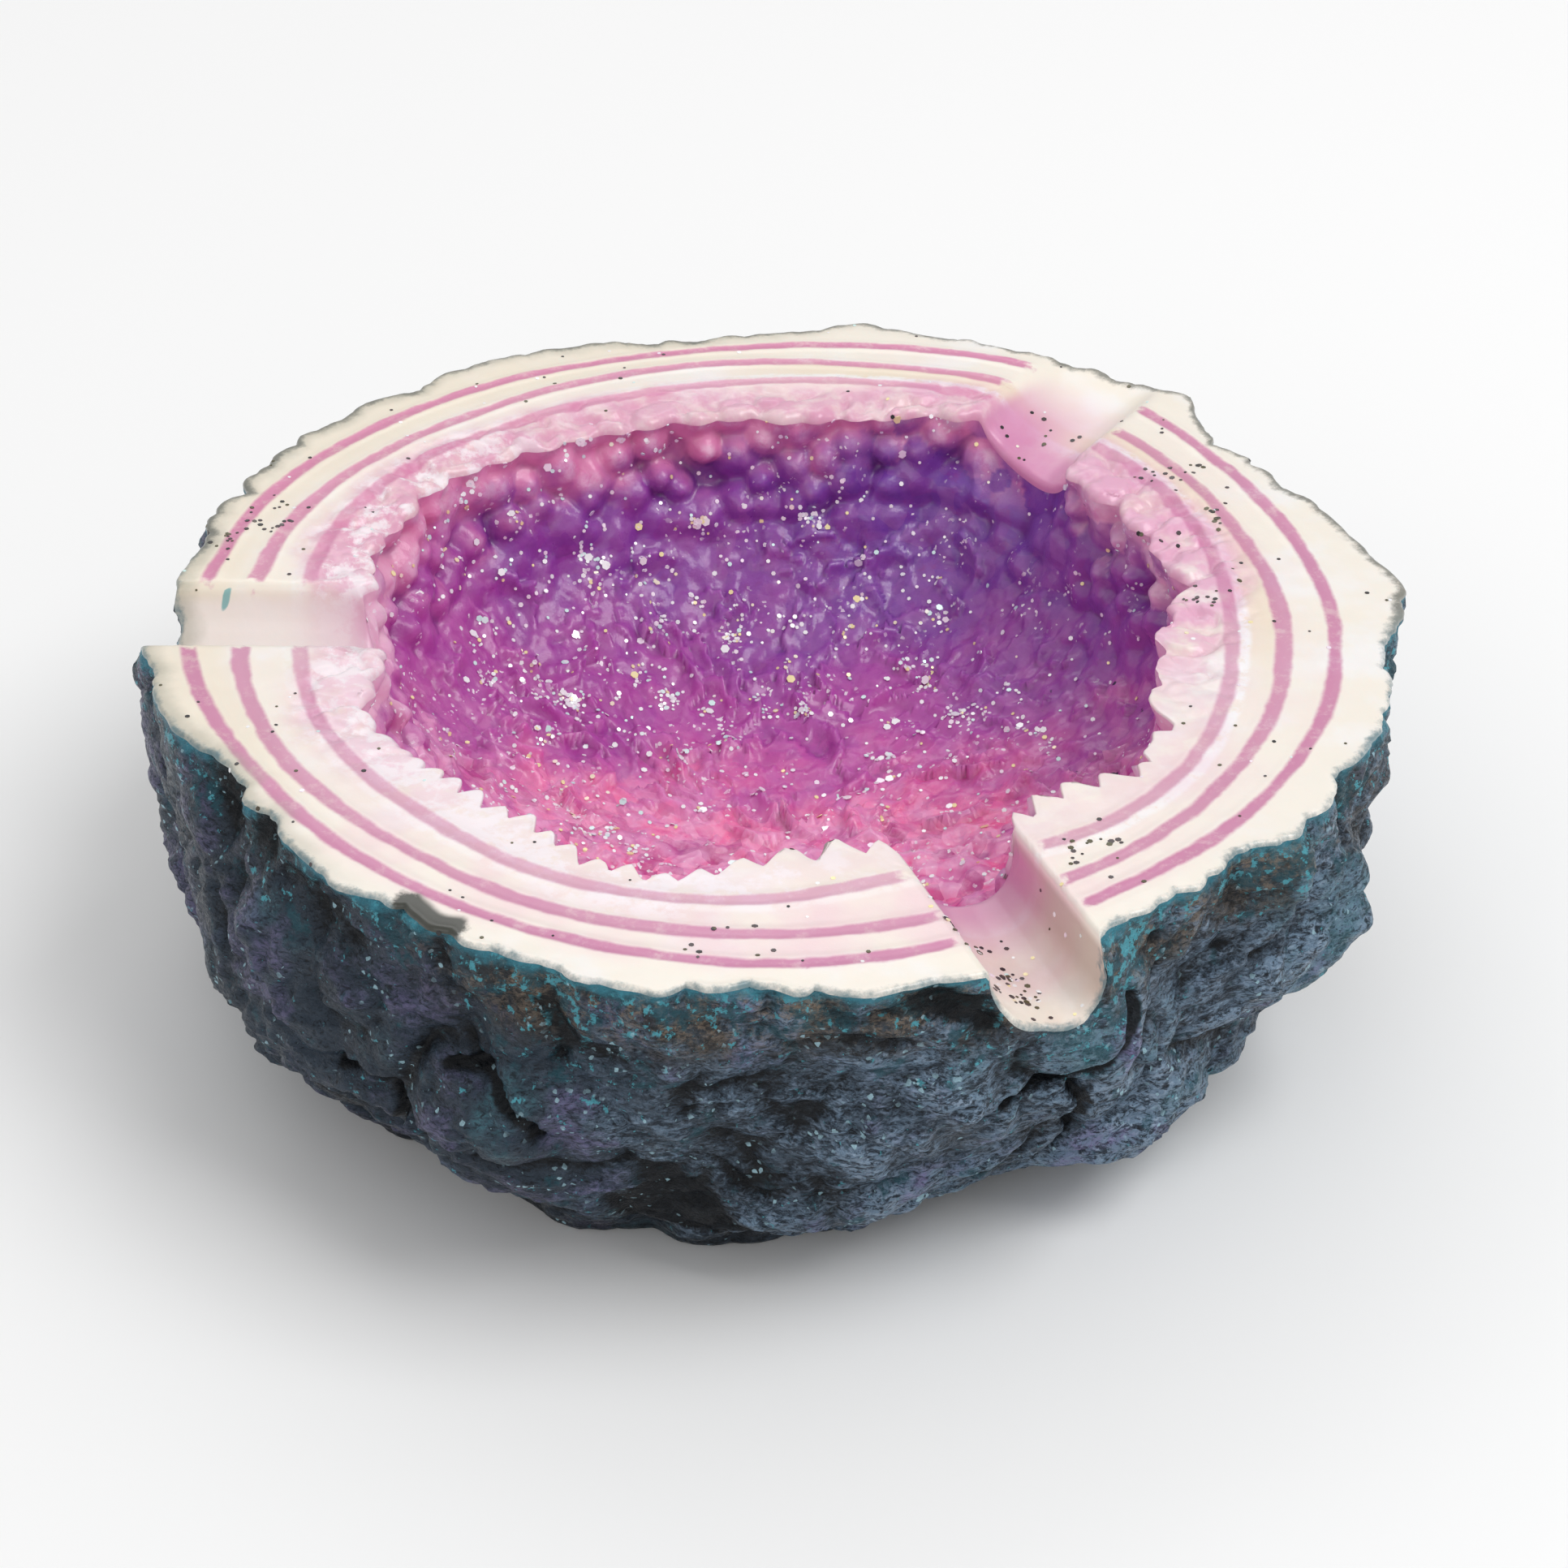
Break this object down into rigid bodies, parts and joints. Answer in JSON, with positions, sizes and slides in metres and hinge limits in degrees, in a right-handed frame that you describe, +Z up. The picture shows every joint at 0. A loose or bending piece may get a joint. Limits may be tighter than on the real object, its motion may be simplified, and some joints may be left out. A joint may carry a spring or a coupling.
{
  "type": "geode ashtray",
  "caption": "Free-standing ashtray cast as half a geode: lumpy rock outside, flat cut rim with U-shaped cigarette rests, crystal-lined bowl.",
  "frame": {"origin": "on the plane of the foot, straight below the middle of the rim", "axes": "+Z up, -Y towards the deep cigarette rest that faces the user"},
  "size_m": [0.1278, 0.1369, 0.041],
  "materials": {
    "rock_paint": "dark slate blue hand-painted polyresin with teal, turquoise and violet dry-brushing under a gloss coat",
    "rim_paint": "glossy ivory polyresin with hand-painted pink bands and scattered glitter",
    "crystal_paint": "glossy sprayed pink, magenta and violet polyresin crystals under glitter lacquer",
    "glitter": "loose silver holographic foil flakes set in the lacquer"
  },
  "bodies": {
    "root": {"geode_body": "rock_paint"}
  },
  "joints": []
}
